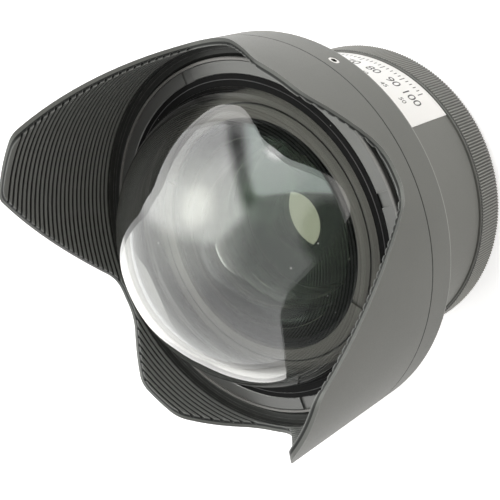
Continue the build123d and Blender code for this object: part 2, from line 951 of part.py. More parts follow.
# Shade: the petals, cut from one cylinder by four valleys, with baffle ridges inside
with BuildPart() as hood_shade:
    revolve(
        outline(
            [
                (spigot_r + screwed_fit, joint_z),
                (hood_r - fine_edge, joint_z),
                (hood_r, joint_z + fine_edge),
                (hood_r, long_tip_z + edge),
                (baffle_r, long_tip_z + edge),
            ]
            + baffle_wall()
            + [
                (baffle_r, floor_z),
                (spigot_r + screwed_fit, floor_z),
            ]
        ),
        axis=Axis.Z,
    )
    for angle, side in ((valley_angle, 1), (180 - valley_angle, -1), (180 + valley_angle, 1), (-valley_angle, -1)):
        with BuildSketch(facing(angle, hood_r / 3, hood_rear_z)):
            with BuildLine():
                add(valley_outline(side))
            make_face()
    extrude(amount=hood_r, mode=Mode.SUBTRACT)
hood_shade.part.label = "hood_shade"
export_step(hood_shade.part, "parts/hood_shade.step")
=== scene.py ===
import json
import math

import bmesh
import bpy
from mathutils import Matrix, Vector


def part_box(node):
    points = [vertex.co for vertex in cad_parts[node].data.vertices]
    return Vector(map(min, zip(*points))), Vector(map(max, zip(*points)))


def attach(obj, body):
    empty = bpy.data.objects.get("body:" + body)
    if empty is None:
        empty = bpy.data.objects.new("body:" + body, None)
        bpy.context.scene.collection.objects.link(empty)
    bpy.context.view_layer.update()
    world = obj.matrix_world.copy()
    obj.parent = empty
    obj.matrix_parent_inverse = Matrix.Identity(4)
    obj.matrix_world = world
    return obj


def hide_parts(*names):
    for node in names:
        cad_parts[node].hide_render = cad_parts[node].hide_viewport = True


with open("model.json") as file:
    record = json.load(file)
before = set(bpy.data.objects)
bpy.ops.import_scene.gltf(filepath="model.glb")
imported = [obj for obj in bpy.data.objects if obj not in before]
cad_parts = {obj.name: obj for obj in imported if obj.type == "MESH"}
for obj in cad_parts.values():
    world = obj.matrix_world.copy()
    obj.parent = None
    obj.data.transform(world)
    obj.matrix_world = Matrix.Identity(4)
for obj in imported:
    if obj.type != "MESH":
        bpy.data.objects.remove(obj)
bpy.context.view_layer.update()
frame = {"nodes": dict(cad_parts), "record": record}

scene = bpy.context.scene
scene.view_settings.view_transform = "Standard"
millimetre = 0.001

# Camera, where the photograph was taken from
cameraSetup = {
    "lens": 72.0,
    "sensor": 36.0,
    "place": Vector((0.20525, -0.15238, 0.35265)),
    "view": Vector((-0.5595, 0.4047, -0.7233)),
    "up": Vector((0.7723, 0.5714, -0.2776)),
}


def makeCamera(setup):
    data = bpy.data.cameras.new("camera")
    data.lens = setup["lens"]
    data.sensor_width = setup["sensor"]
    camera = bpy.data.objects.new("camera", data)
    scene.collection.objects.link(camera)
    back = -setup["view"].normalized()
    right = setup["up"].cross(back).normalized()
    turn = Matrix((right, back.cross(right), back)).transposed()
    camera.matrix_world = Matrix.Translation(setup["place"]) @ turn.to_4x4()
    scene.camera = camera


makeCamera(cameraSetup)
print("camera placed")


# Shader helpers
def startMaterial(name):
    material = bpy.data.materials.new(name)
    material.use_nodes = True
    tree = material.node_tree
    return material, tree, tree.nodes["Principled BSDF"]


def addNode(tree, kind, **settings):
    node = tree.nodes.new(kind)
    for key, value in settings.items():
        setattr(node, key, value)
    return node


def wire(tree, source, target, socket):
    # source is a socket, a plain value or a vector
    if isinstance(source, bpy.types.NodeSocket):
        tree.links.new(source, target.inputs[socket])
    else:
        target.inputs[socket].default_value = source


def math2(tree, operation, a, b, clamp=False):
    node = addNode(tree, "ShaderNodeMath", operation=operation, use_clamp=clamp)
    wire(tree, a, node, 0)
    wire(tree, b, node, 1)
    return node.outputs[0]


def objectCoordinates(tree):
    return addNode(tree, "ShaderNodeTexCoord").outputs["Object"]


def noise(tree, vector, scale, detail=2.0, roughness=0.5, dimensions="3D"):
    node = addNode(tree, "ShaderNodeTexNoise", noise_dimensions=dimensions)
    wire(tree, vector, node, "W" if dimensions == "1D" else "Vector")
    node.inputs["Scale"].default_value = scale
    node.inputs["Detail"].default_value = detail
    node.inputs["Roughness"].default_value = roughness
    return node.outputs[0]


def remap(tree, value, low, high, newLow, newHigh, curve="LINEAR"):
    node = addNode(tree, "ShaderNodeMapRange", interpolation_type=curve)
    wire(tree, value, node, "Value")
    for socket, number in zip(("From Min", "From Max", "To Min", "To Max"), (low, high, newLow, newHigh)):
        node.inputs[socket].default_value = number
    return node.outputs[0]


def blendColors(tree, factor, a, b):
    node = addNode(tree, "ShaderNodeMix", data_type="RGBA")
    wire(tree, factor, node, 0)
    for socket, color in ((6, a), (7, b)):
        wire(tree, color if isinstance(color, bpy.types.NodeSocket) else (*color, 1.0), node, socket)
    return node.outputs[2]


def bump(tree, height, distance, strength=1.0, normal=None):
    node = addNode(tree, "ShaderNodeBump")
    node.inputs["Strength"].default_value = strength
    node.inputs["Distance"].default_value = distance
    wire(tree, height, node, "Height")
    if normal is not None:
        tree.links.new(normal, node.inputs["Normal"])
    return node.outputs[0]


def axes(tree, position):
    node = addNode(tree, "ShaderNodeSeparateXYZ")
    tree.links.new(position, node.inputs[0])
    return node.outputs


def axisRadius(tree, position):
    # Distance from the optical axis
    squares = [math2(tree, "MULTIPLY", axis, axis) for axis in axes(tree, position)[:2]]
    return math2(tree, "POWER", math2(tree, "ADD", *squares), 0.5)


def heightOf(tree, position):
    return axes(tree, position)[2]


def nearTo(tree, value, middle, reach, fade):
    # 1 within reach of the middle value, fading to 0
    away = math2(tree, "ABSOLUTE", math2(tree, "SUBTRACT", value, middle), 0.0)
    return remap(tree, away, reach, reach + fade, 1.0, 0.0)


def dustMask(tree, position, scale, size):
    # 1 on small round specks. Most cells have none.
    emptyCells = 0.82
    cells = addNode(tree, "ShaderNodeTexVoronoi")
    cells.inputs["Scale"].default_value = scale
    tree.links.new(position, cells.inputs["Vector"])
    chance = addNode(tree, "ShaderNodeSeparateColor")
    tree.links.new(cells.outputs["Color"], chance.inputs[0])
    reach = remap(tree, chance.outputs[0], emptyCells, 1.0, 0.0, size)
    return math2(tree, "LESS_THAN", cells.outputs["Distance"], reach)


def edgeMask(tree, radius):
    # 1 at outer edges, 0 on the flats, by the cosine between the rounded and the true normal
    flatCosine, edgeCosine = 0.99, 0.8
    soft = addNode(tree, "ShaderNodeBevel", samples=6)
    soft.inputs["Radius"].default_value = radius
    geometry = addNode(tree, "ShaderNodeNewGeometry")
    dot = addNode(tree, "ShaderNodeVectorMath", operation="DOT_PRODUCT")
    tree.links.new(soft.outputs[0], dot.inputs[0])
    tree.links.new(geometry.outputs["True Normal"], dot.inputs[1])
    return remap(tree, dot.outputs["Value"], flatCosine, edgeCosine, 0.0, 1.0)


def roughnessAround(tree, shader, pattern, middle, spread):
    # The pattern's usual range, 0.3 to 0.7, goes over the spread on both sides of the middle
    value = remap(tree, pattern, 0.3, 0.7, middle - spread, middle + spread)
    tree.links.new(value, shader.inputs["Roughness"])


# Anodised metals. All radii and heights are in metres in the frame.
# Painted highlights on the crests of ridges and painted shade in their grooves
def paintedRidgeLight(tree, look, radius, height):
    depth = remap(tree, radius, look["crestRadius"], look["grooveRadius"], 0.0, 1.0)
    litAndShadedRidges = blendColors(tree, depth, look["crest"], look["grooveShade"])
    # Painted shade on the inner floor below the last ridge
    if "foot" in look:
        foot = remap(tree, height, look["footHeight"] + look["stepFade"], look["footHeight"], 0.0, 1.0)
        litAndShadedRidges = blendColors(tree, foot, litAndShadedRidges, look["foot"])
    return litAndShadedRidges


def anodised(name, look):
    material, tree, shader = startMaterial(name)
    place = objectCoordinates(tree)
    radius = axisRadius(tree, place)
    height = heightOf(tree, place)
    cloud = remap(tree, noise(tree, place, look["cloudScale"], 3.0), 0.3, 0.7, 0.0, 1.0)
    color = blendColors(tree, cloud, look["color"], look["shade"])
    # On one side of a given radius, the ridges get their painted light and shade
    if "grooveShade" in look:
        ridgeLightZone = remap(tree, radius, look["plainRadius"], look["ridgedRadius"], 0.0, 1.0)
        color = blendColors(tree, ridgeLightZone, color, paintedRidgeLight(tree, look, radius, height))
    # Painted highlight on the rounded front rim, above a given height
    if "rim" in look:
        rim = remap(tree, height, look["rimHeight"] - look["stepFade"], look["rimHeight"], 0.0, 1.0)
        color = blendColors(tree, rim, color, look["rim"])
    for middle, width, tone in look.get("bands", []):
        # A narrow band round the outside at one height: a dark joint line, or a painted highlight along an
        # edge
        band = nearTo(tree, height, middle, width / 2, look["bandFade"])
        outside = remap(tree, radius, look["bandRadius"], look["bandRadius"] + look["lineFade"], 0.0, 1.0)
        color = blendColors(tree, math2(tree, "MULTIPLY", band, outside), color, tone)
    if "line" in look:
        # A thin ring round the axis: painted shade at the bottom of a groove
        line = nearTo(tree, radius, look["lineRadius"], look["lineWidth"] / 2, look["lineFade"])
        color = blendColors(tree, line, color, look["line"])
    # Lighter edges in random patches: partly real wear, partly a painted highlight
    patches = remap(tree, noise(tree, place, look["edgePatchScale"]), 0.35, 0.65, 0.3, 1.0)
    wornAndLitEdges = math2(tree, "MULTIPLY", edgeMask(tree, look["edgeWidth"]), look["edgeWearAndHighlight"])
    color = blendColors(tree, math2(tree, "MULTIPLY", wornAndLitEdges, patches), color, look["bareAndLitEdge"])
    tree.links.new(color, shader.inputs["Base Color"])
    grain = noise(tree, place, look["grainScale"], 2.0)
    roughnessAround(tree, shader, grain, look["roughness"], 0.04)
    shader.inputs["Metallic"].default_value = look["metallic"]
    shader.inputs["Specular IOR Level"].default_value = look.get("specular", 0.5)
    surface = bump(tree, grain, look["grainDepth"])
    if "turning" in look:
        rings = noise(tree, radius, look["turning"], 1.0, 0.5, "1D")
        surface = bump(tree, rings, look["turningDepth"], 1.0, surface)
    tree.links.new(surface, shader.inputs["Normal"])
    return material


satinGrey = {
    "color": (0.125, 0.128, 0.119),
    "shade": (0.110, 0.113, 0.105),
    # Edge colour: partly real wear, partly a painted highlight
    "bareAndLitEdge": (0.34, 0.34, 0.33),
    "cloudScale": 25.0,
    "roughness": 0.46,
    "metallic": 0.35,
    "grainScale": 2600.0,
    "grainDepth": 0.00003,
    "edgeWearAndHighlight": 0.5,
    "edgeWidth": 0.0003,
    "edgePatchScale": 300.0,
    "stepFade": 0.0002,
    "lineFade": 0.0001,
    "bandFade": 0.00005,
}
# The hood's light baffle inside has painted highlights on its crests and painted shade in its grooves and
# at its foot; outside it has a painted highlight along its rear edge and a dark joint line
hoodLook = dict(
    satinGrey,
    # Painted highlight on the baffle's crests and painted shade in its grooves
    crest=(0.20, 0.205, 0.195),
    grooveShade=(0.010, 0.011, 0.010),
    crestRadius=0.0724,
    grooveRadius=0.0730,
    plainRadius=0.0738,
    ridgedRadius=0.0736,
    # Painted shade at the foot of the baffle
    foot=(0.035, 0.036, 0.034),
    footHeight=0.0869,
    # A painted highlight along the rear edge, and the dark joint line
    bands=[(0.0673, 0.0010, (0.24, 0.245, 0.235)), (0.07975, 0.0006, (0.045, 0.046, 0.044))],
    bandRadius=0.0742,
)
barrelLook = dict(
    satinGrey,
    color=(0.153, 0.156, 0.146),
    shade=(0.136, 0.139, 0.130),
    # Painted highlight on the front rim of the head
    rim=(0.22, 0.215, 0.205),
    rimHeight=0.0840,
)
knurlLook = dict(
    satinGrey,
    color=(0.185, 0.188, 0.176),
    shade=(0.165, 0.168, 0.157),
    roughness=0.42,
    edgeWearAndHighlight=0.7,
    # Painted highlights on the crests of the knurl and painted shade in its grooves
    crest=(0.275, 0.278, 0.264),
    grooveShade=(0.045, 0.046, 0.043),
    crestRadius=0.06175,
    grooveRadius=0.0613,
    plainRadius=0.0611,
    ridgedRadius=0.0612,
)
blackLook = dict(
    satinGrey,
    color=(0.014, 0.014, 0.015),
    shade=(0.010, 0.010, 0.011),
    bareAndLitEdge=(0.12, 0.12, 0.12),
    metallic=0.2,
    specular=0.2,
    roughness=0.5,
    edgeWearAndHighlight=0.3,
    grainDepth=0.000002,
)
frontRingLook = dict(
    satinGrey,
    color=(0.190, 0.190, 0.185),
    shade=(0.165, 0.165, 0.160),
    metallic=0.75,
    roughness=0.36,
    edgeWearAndHighlight=0.6,
    turning=2200.0,
    turningDepth=0.00002,
)
seatRingLook = dict(
    satinGrey,
    color=(0.155, 0.147, 0.134),
    shade=(0.138, 0.130, 0.119),
    metallic=0.6,
    roughness=0.42,
    edgeWearAndHighlight=0.3,
    turning=2600.0,
    turningDepth=0.00002,
    # Painted shade at the bottom of the seat ring's groove
    line=(0.008, 0.008, 0.008),
    lineRadius=0.0492,
    lineWidth=0.00055,
)

steelLook = {
    "color": (0.62, 0.61, 0.59),
    "shade": (0.50, 0.49, 0.48),
    "streakScale": 900.0,
    "streakDepth": 0.00001,
    "roughness": 0.25,
}


def steel(name, look):
    material, tree, shader = startMaterial(name)
    streaks = noise(tree, objectCoordinates(tree), look["streakScale"], 4.0)
    tree.links.new(blendColors(tree, streaks, look["color"], look["shade"]), shader.inputs["Base Color"])
    roughnessAround(tree, shader, streaks, look["roughness"], 0.07)
    shader.inputs["Metallic"].default_value = 1.0
    tree.links.new(bump(tree, streaks, look["streakDepth"]), shader.inputs["Normal"])
    return material


# Seals. A painted highlight runs along the bead of the gasket.
rubberLook = {
    "color": (0.004, 0.004, 0.004),
    "shade": (0.009, 0.009, 0.009),
    "grainScale": 1500.0,
    "grainDepth": 0.00002,
    "roughness": 0.465,
    "specular": 0.08,
    # Painted highlight along the bead
    "beadHighlight": (0.11, 0.11, 0.11),
    "beadRadius": 0.0600,
    "beadReach": 0.0001,
    "dust": (0.45, 0.45, 0.43),
    "dustScale": 420.0,
    "dustSize": 0.14,
    "dustCover": 0.5,
}


def rubber(name, look):
    material, tree, shader = startMaterial(name)
    place = objectCoordinates(tree)
    grain = noise(tree, place, look["grainScale"], 3.0)
    color = blendColors(tree, grain, look["color"], look["shade"])
    # Painted highlight along the crest of the bead
    bead = nearTo(tree, axisRadius(tree, place), look["beadRadius"], look["beadReach"], look["beadReach"])
    color = blendColors(tree, bead, color, look["beadHighlight"])
    speck = dustMask(tree, place, look["dustScale"], look["dustSize"])
    color = blendColors(tree, math2(tree, "MULTIPLY", speck, look["dustCover"]), color, look["dust"])
    tree.links.new(color, shader.inputs["Base Color"])
    roughnessAround(tree, shader, grain, look["roughness"], 0.085)
    shader.inputs["Specular IOR Level"].default_value = look["specular"]
    tree.links.new(bump(tree, grain, look["grainDepth"]), shader.inputs["Normal"])
    return material


slipperyLook = {
    "color": (0.72, 0.72, 0.70),
    "shade": (0.66, 0.66, 0.64),
    "cloudScale": 80.0,
    "grainScale": 3000.0,
    "grainDepth": 0.00001,
    "roughness": 0.5,
}
labelFilmLook = {
    "color": (0.90, 0.90, 0.90),
    "shade": (0.86, 0.86, 0.86),
    "cloudScale": 60.0,
    "grainScale": 3000.0,
    "grainDepth": 0.000004,
    "roughness": 0.35,
}


def whitePlastic(name, look):
    material, tree, shader = startMaterial(name)
    place = objectCoordinates(tree)
    cloud = noise(tree, place, look["cloudScale"], 3.0)
    tree.links.new(blendColors(tree, cloud, look["color"], look["shade"]), shader.inputs["Base Color"])
    roughnessAround(tree, shader, cloud, look["roughness"], 0.05)
    grain = noise(tree, place, look["grainScale"])
    tree.links.new(bump(tree, grain, look["grainDepth"]), shader.inputs["Normal"])
    return material


# Polished glass. Lamps shine through it, and a few specks of dust lie on it.
def glass(name, look):
    material, tree, shader = startMaterial(name)
    shader.inputs["Base Color"].default_value = (*look["tint"], 1.0)
    shader.inputs["Roughness"].default_value = 0.0
    shader.inputs["IOR"].default_value = look["ior"]
    shader.inputs["Transmission Weight"].default_value = 1.0
    shader.inputs["Specular Tint"].default_value = (*look["mirror"], 1.0)
    if "coat" in look:
        shader.inputs["Coat Weight"].default_value = look["coat"]
        shader.inputs["Coat Roughness"].default_value = 0.0
        shader.inputs["Coat IOR"].default_value = look["coatIor"]
    surface = shader.outputs[0]
    if "dust" in look:
        speck = dustMask(tree, objectCoordinates(tree), look["dustScale"], look["dustSize"])
        mote = addNode(tree, "ShaderNodeBsdfDiffuse")
        mote.inputs["Color"].default_value = (*look["dust"], 1.0)
        dusty = addNode(tree, "ShaderNodeMixShader")
        tree.links.new(math2(tree, "MULTIPLY", speck, look["dustCover"]), dusty.inputs[0])
        tree.links.new(surface, dusty.inputs[1])
        tree.links.new(mote.outputs[0], dusty.inputs[2])
        surface = dusty.outputs[0]
    rays = addNode(tree, "ShaderNodeLightPath")
    clear = addNode(tree, "ShaderNodeBsdfTransparent")
    clear.inputs["Color"].default_value = (*look["shadow"], 1.0)
    passing = addNode(tree, "ShaderNodeMixShader")
    tree.links.new(rays.outputs["Is Shadow Ray"], passing.inputs[0])
    tree.links.new(surface, passing.inputs[1])
    tree.links.new(clear.outputs[0], passing.inputs[2])
    tree.links.new(passing.outputs[0], tree.nodes["Material Output"].inputs["Surface"])
    return material


domeGlass = {
    "tint": (0.90, 0.915, 0.90),
    "ior": 1.5,
    "mirror": (1.0, 1.0, 1.0),
    "shadow": (0.93, 0.94, 0.93),
    "coat": 1.0,
    "coatIor": 1.6,
    "dust": (0.6, 0.6, 0.58),
    "dustScale": 170.0,
    "dustSize": 0.09,
    "dustCover": 0.4,
}
innerGlass = {
    "tint": (0.89, 0.91, 0.84),
    "ior": 1.55,
    "mirror": (0.13, 0.20, 0.15),
    "shadow": (0.86, 0.93, 0.88),
}
rearGlass = dict(innerGlass, tint=(0.95, 0.97, 0.98))

# A finish for each material slot of the CAD
finishes = {
    "hood_metal": anodised("hoodAnodising", hoodLook),
    "barrel_metal": anodised("barrelAnodising", barrelLook),
    "knurled_metal": anodised("knurlAnodising", knurlLook),
    "front_ring_metal": anodised("frontRingAnodising", frontRingLook),
    "seat_ring_metal": anodised("seatRingAnodising", seatRingLook),
    "black_metal": anodised("blackAnodising", blackLook),
    "screw_steel": steel("screwSteel", steelLook),
    "seal_rubber": rubber("sealRubber", rubberLook),
    "slippery_plastic": whitePlastic("slipperyPlastic", slipperyLook),
    "label_film": whitePlastic("labelFilm", labelFilmLook),
    "dome_glass": glass("domeGlass", domeGlass),
    "inner_glass": glass("innerGlass", innerGlass),
    "rear_glass": glass("rearGlass", rearGlass),
}
for part in frame["record"]["subparts"]:
    frame["nodes"][part["node"]].data.materials[0] = finishes[part["material_slot"]]
print("finishes made")


# Turned pieces
def turned(name, profile, segments):
    # Turns (radius, height) points about the axis. They run clockwise, from the axis back to the axis.
    points, rows, faces = [], [], []
    for radius, height in profile:
        count = segments if radius > 0 else 1
        rows.append([len(points) + k for k in range(count)])
        for k in range(count):
            angle = 2 * math.pi * k / segments
            points.append((radius * math.cos(angle), radius * math.sin(angle), height))
    for upper, lower in zip(rows, rows[1:]):
        for k in range(segments):
            n = (k + 1) % segments
            if len(upper) == 1:
                faces.append((upper[0], lower[k], lower[n]))
            elif len(lower) == 1:
                faces.append((upper[k], lower[0], upper[n]))
            else:
                faces.append((upper[k], lower[k], lower[n], upper[n]))
    mesh = bpy.data.meshes.new(name)
    mesh.from_pydata(points, [], faces)
    mesh.validate()
    mesh.shade_smooth()
    mesh.set_sharp_from_angle(angle=math.radians(30.0))
    piece = bpy.data.objects.new(name, mesh)
    scene.collection.objects.link(piece)
    return piece


def arc(axisHeight, rimRadius, rimHeight, steps):
    # Points of a spherical surface from the axis out to its rim
    sag = axisHeight - rimHeight
    sphere = (rimRadius**2 + sag**2) / (2 * sag)
    centre = axisHeight - sphere
    sweep = math.atan2(rimRadius, (rimHeight - centre) * math.copysign(1, sphere))
    return [
        (abs(sphere) * math.sin(sweep * k / steps), centre + sphere * math.cos(sweep * k / steps))
        for k in range(steps + 1)
    ]


def lensProfile(look):
    # Front surface, rim and back surface, from the axis out and in again
    front = arc(look["frontTop"], look["frontRadius"], look["frontEdge"], look["steps"])
    back = arc(look["backTop"], look["backRadius"], look["backEdge"], look["steps"])[::-1]
    middle = []
    if look["frontRadius"] < look["radius"]:
        middle.append((look["radius"], look["frontEdge"]))
    if look["backRadius"] < look["radius"]:
        middle.append((look["radius"], look["backEdge"]))
    profile = front + middle + back
    profile[0] = (0.0, look["frontTop"])
    profile[-1] = (0.0, look["backTop"])
    return profile


def addLens(name, node, look, slot):
    look["radius"] = round(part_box(node)[1].x, 6)
    piece = turned(name, lensProfile(look), look["segments"])
    piece.data.materials.append(finishes[slot])
    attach(piece, "lens_body")
    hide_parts(node)


def nodeHeights(node):
    low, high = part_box(node)
    return low.z, high.z


# Dome: a deep shell of nearly even thickness with a flat ground rim
domeBottom, domeTop = nodeHeights("dome_element")
domeRadius = 59.5 * millimetre
domeEdgeRadius = 58.0 * millimetre
dome = {
    "frontTop": domeTop,
    "frontRadius": domeEdgeRadius,
    "frontEdge": domeTop - domeRadius + math.sqrt(domeRadius**2 - domeEdgeRadius**2),
    "backTop": domeTop - 6.2 * millimetre,
    "backRadius": domeEdgeRadius - 5.0 * millimetre,
    "backEdge": domeBottom,
    "steps": 96,
    "segments": 256,
}
addLens("dome_glass_fine", "dome_element", dome, "dome_glass")

# Second glass: a steep meniscus seen through the dome
secondBottom = nodeHeights("second_element")[0]
secondEdge = secondBottom + 5.0 * millimetre
second = {
    "frontTop": secondEdge + 19.0 * millimetre,
    "frontRadius": 41.9 * millimetre,
    "frontEdge": secondEdge,
    "backTop": secondBottom + 17.6 * millimetre,
    "backRadius": 33.0 * millimetre,
    "backEdge": secondBottom,
    "steps": 64,
    "segments": 192,
}
addLens("second_glass_fine", "second_element", second, "inner_glass")

# Third glass: hollow on both sides
thirdBottom, thirdTop = nodeHeights("third_element")
third = {
    "frontTop": thirdTop - 4.0 * millimetre,
    "frontRadius": 33.0 * millimetre,
    "frontEdge": thirdTop,
    "backTop": thirdBottom + 3.5 * millimetre,
    "backRadius": 33.0 * millimetre,
    "backEdge": thirdBottom,
    "steps": 48,
    "segments": 160,
}
addLens("third_glass_fine", "third_element", third, "inner_glass")

# Rear glass: a weak meniscus
rearBottom, rearTop = nodeHeights("rear_element")
rear = {
    "frontTop": rearTop - 0.8 * millimetre,
    "frontRadius": 26.5 * millimetre,
    "frontEdge": rearTop,
    "backTop": rearBottom,
    "backRadius": 26.5 * millimetre,
    "backEdge": rearTop - 4.2 * millimetre,
    "steps": 48,
    "segments": 160,
}
addLens("rear_glass_fine", "rear_element", rear, "rear_glass")
print("glasses turned")


# What repeats is made by node trees
def startTree(name, sizes):
    # sizes are (input name, socket type, default value)
    tree = bpy.data.node_groups.new(name, "GeometryNodeTree")
    for label, kind, value in sizes:
        socket = tree.interface.new_socket(name=label, in_out="INPUT", socket_type=kind)
        socket.default_value = value
    tree.interface.new_socket(name="Geometry", in_out="OUTPUT", socket_type="NodeSocketGeometry")
    return tree, tree.nodes.new("NodeGroupInput"), tree.nodes.new("NodeGroupOutput")


def finishTree(tree, geometry, target, material):
    realize = tree.nodes.new("GeometryNodeRealizeInstances")
    paint = tree.nodes.new("GeometryNodeSetMaterial")
    paint.inputs["Material"].default_value = material
    tree.links.new(geometry, realize.inputs[0])
    tree.links.new(realize.outputs[0], paint.inputs[0])
    tree.links.new(paint.outputs[0], target.inputs[0])


def grow(tree, values):
    # Evaluates the tree with these inputs and gives a plain mesh
    holder = bpy.data.objects.new(tree.name, bpy.data.meshes.new(tree.name))
    scene.collection.objects.link(holder)
    modifier = holder.modifiers.new(tree.name, "NODES")
    modifier.node_group = tree
    for socket in tree.interface.items_tree:
        if socket.in_out == "INPUT":
            modifier[socket.identifier] = values.get(socket.name, socket.default_value)
    depsgraph = bpy.context.evaluated_depsgraph_get()
    mesh = bpy.data.meshes.new_from_object(holder.evaluated_get(depsgraph), depsgraph=depsgraph)
    holder.modifiers.clear()
    bpy.data.objects.remove(holder)
    return mesh


def helixTree(material):
    # A thread ridge: a bar with a square section on its corner, wound round the axis
    sizes = [
        ("Root Radius", "NodeSocketFloat", 0.0331),
        ("Ridge", "NodeSocketFloat", 0.0004),
        ("Turns", "NodeSocketFloat", 4.0),
        ("Height", "NodeSocketFloat", 0.003),
        ("Steps", "NodeSocketInt", 120),
    ]
    tree, given, result = startTree("threadHelix", sizes)
    spiral = tree.nodes.new("GeometryNodeCurveSpiral")
    section = tree.nodes.new("GeometryNodeCurvePrimitiveCircle")
    section.inputs["Resolution"].default_value = 4
    upright = addNode(tree, "GeometryNodeSetCurveNormal", mode="Z_UP")
    sweep = tree.nodes.new("GeometryNodeCurveToMesh")
    sweep.inputs["Fill Caps"].default_value = True
    link = tree.links.new
    link(given.outputs["Steps"], spiral.inputs["Resolution"])
    link(given.outputs["Turns"], spiral.inputs["Rotations"])
    link(given.outputs["Root Radius"], spiral.inputs["Start Radius"])
    link(given.outputs["Root Radius"], spiral.inputs["End Radius"])
    link(given.outputs["Height"], spiral.inputs["Height"])
    link(given.outputs["Ridge"], section.inputs["Radius"])
    link(spiral.outputs[0], upright.inputs["Curve"])
    link(upright.outputs[0], sweep.inputs["Curve"])
    link(section.outputs[0], sweep.inputs["Profile Curve"])
    finishTree(tree, sweep.outputs[0], result, material)
    return tree


def tickTree(material):
    # Small bars round the axis, one step apart, with a free place after each group
    sizes = [
        ("Radius", "NodeSocketFloat", 0.0608),
        ("Count", "NodeSocketInt", 10),
        ("Start", "NodeSocketFloat", 0.0),
        ("Step", "NodeSocketFloat", 0.03),
        ("Bar", "NodeSocketVector", (0.00003, 0.00025, 0.0015)),
        ("Height", "NodeSocketFloat", 0.03),
        ("Group", "NodeSocketInt", 100),
    ]
    tree, given, result = startTree("labelTicks", sizes)
    link = tree.links.new
    points = tree.nodes.new("GeometryNodeMeshLine")
    points.inputs["Offset"].default_value = (0.0, 0.0, 0.0)
    bar = tree.nodes.new("GeometryNodeMeshCube")
    place = tree.nodes.new("ShaderNodeCombineXYZ")
    outwards = tree.nodes.new("GeometryNodeTransform")
    index = tree.nodes.new("GeometryNodeInputIndex")
    groups = math2(tree, "DIVIDE", index.outputs[0], given.outputs["Group"])
    skipped = math2(tree, "FLOOR", groups, 0.0)
    steps = math2(tree, "ADD", index.outputs[0], skipped)
    swept = math2(tree, "MULTIPLY", steps, given.outputs["Step"])
    angle = math2(tree, "ADD", swept, given.outputs["Start"])
    angles = tree.nodes.new("ShaderNodeCombineXYZ")
    spread = tree.nodes.new("GeometryNodeInstanceOnPoints")
    link(given.outputs["Count"], points.inputs["Count"])
    link(given.outputs["Bar"], bar.inputs["Size"])
    link(given.outputs["Radius"], place.inputs["X"])
    link(given.outputs["Height"], place.inputs["Z"])
    link(bar.outputs[0], outwards.inputs["Geometry"])
    link(place.outputs[0], outwards.inputs["Translation"])
    link(angle, angles.inputs["Z"])
    link(points.outputs[0], spread.inputs["Points"])
    link(outwards.outputs[0], spread.inputs["Instance"])
    link(angles.outputs[0], spread.inputs["Rotation"])
    finishTree(tree, spread.outputs[0], result, material)
    return tree


def joinMeshes(name, meshes, material):
    sameSpot = 0.0005 * millimetre
    shape = bmesh.new()
    for mesh in meshes:
        shape.from_mesh(mesh)
    bmesh.ops.remove_doubles(shape, verts=shape.verts, dist=sameSpot)
    joined = bpy.data.meshes.new(name)
    shape.to_mesh(joined)
    shape.free()
    # Normals that came with a CAD mesh don't fit the changed one
    if "custom_normal" in joined.attributes:
        joined.attributes.remove(joined.attributes["custom_normal"])
    joined.shade_smooth()
    joined.set_sharp_from_angle(angle=math.radians(25.0))
    joined.materials.clear()
    joined.materials.append(material)
    piece = bpy.data.objects.new(name, joined)
    scene.collection.objects.link(piece)
    return piece


# Mounting thread: the adapter of the CAD with real turns in place of its plain cylinder
threadLook = {
    "node": "thread_adapter",
    "crest": 33.5 * millimetre,
    "pitch": 0.75 * millimetre,
    "chamfer": 0.5 * millimetre,
    "relief": 3.7 * millimetre,
    "sameSpot": 0.001 * millimetre,
    "onCrest": 0.02 * millimetre,
}


def addThread(look):
    root = look["crest"] - look["pitch"] / 2
    shape = bmesh.new()
    shape.from_mesh(frame["nodes"][look["node"]].data)
    bmesh.ops.remove_doubles(shape, verts=shape.verts, dist=look["sameSpot"])
    crestFaces = [
        face
        for face in shape.faces
        if all(abs(corner.co.xy.length - look["crest"]) < look["onCrest"] for corner in face.verts)
    ]
    bmesh.ops.delete(shape, geom=crestFaces, context="FACES")
    # The two open rims move in to the root of the thread, the lower one along its chamfer, and are bridged
    rims = [edge for edge in shape.edges if edge.is_boundary]
    for corner in {corner for edge in rims for corner in edge.verts}:
        corner.co.xy *= root / look["crest"]
        if corner.co.z < look["relief"] / 2:
            corner.co.z -= look["crest"] - root
    bmesh.ops.bridge_loops(shape, edges=rims)
    bmesh.ops.recalc_face_normals(shape, faces=shape.faces)
    body = bpy.data.meshes.new("adapterBody")
    shape.to_mesh(body)
    shape.free()
    turns = (look["relief"] - look["chamfer"]) / look["pitch"] - 1
    values = {
        "Root Radius": root,
        "Ridge": look["pitch"] / 2,
        "Turns": turns,
        "Height": turns * look["pitch"],
    }
    helix = grow(helixTree(finishes["black_metal"]), values)
    helix.transform(Matrix.Translation((0, 0, look["chamfer"] + look["pitch"] / 2)))
    piece = joinMeshes("adapter_with_thread", [body, helix], finishes["black_metal"])
    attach(piece, "coupling")
    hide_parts(look["node"])


addThread(threadLook)

# Print on the label: a plain scale with numbers. It starts at an angle and steps on, in degrees.
printLook = {
    "node": "label_plate",
    "radius": 60.76 * millimetre,
    "ink": 0.03 * millimetre,
    "start": 78.0,
    "step": 9.0,
    "count": 11,
    "fine": 5,
    "barWidth": 0.4 * millimetre,
    "longTick": 3.4 * millimetre,
    "shortTick": 1.9 * millimetre,
    "ticksFromRear": 3.5 * millimetre,
    # Rows of numbers: what each long tick adds, the size and the distance from the label's rear edge
    "numbers": [(10, 6.2 * millimetre, 13.5 * millimetre), (5, 3.4 * millimetre, 19.0 * millimetre)],
    "inkColor": (0.035, 0.035, 0.037),
    "inkShade": (0.065, 0.065, 0.068),
}


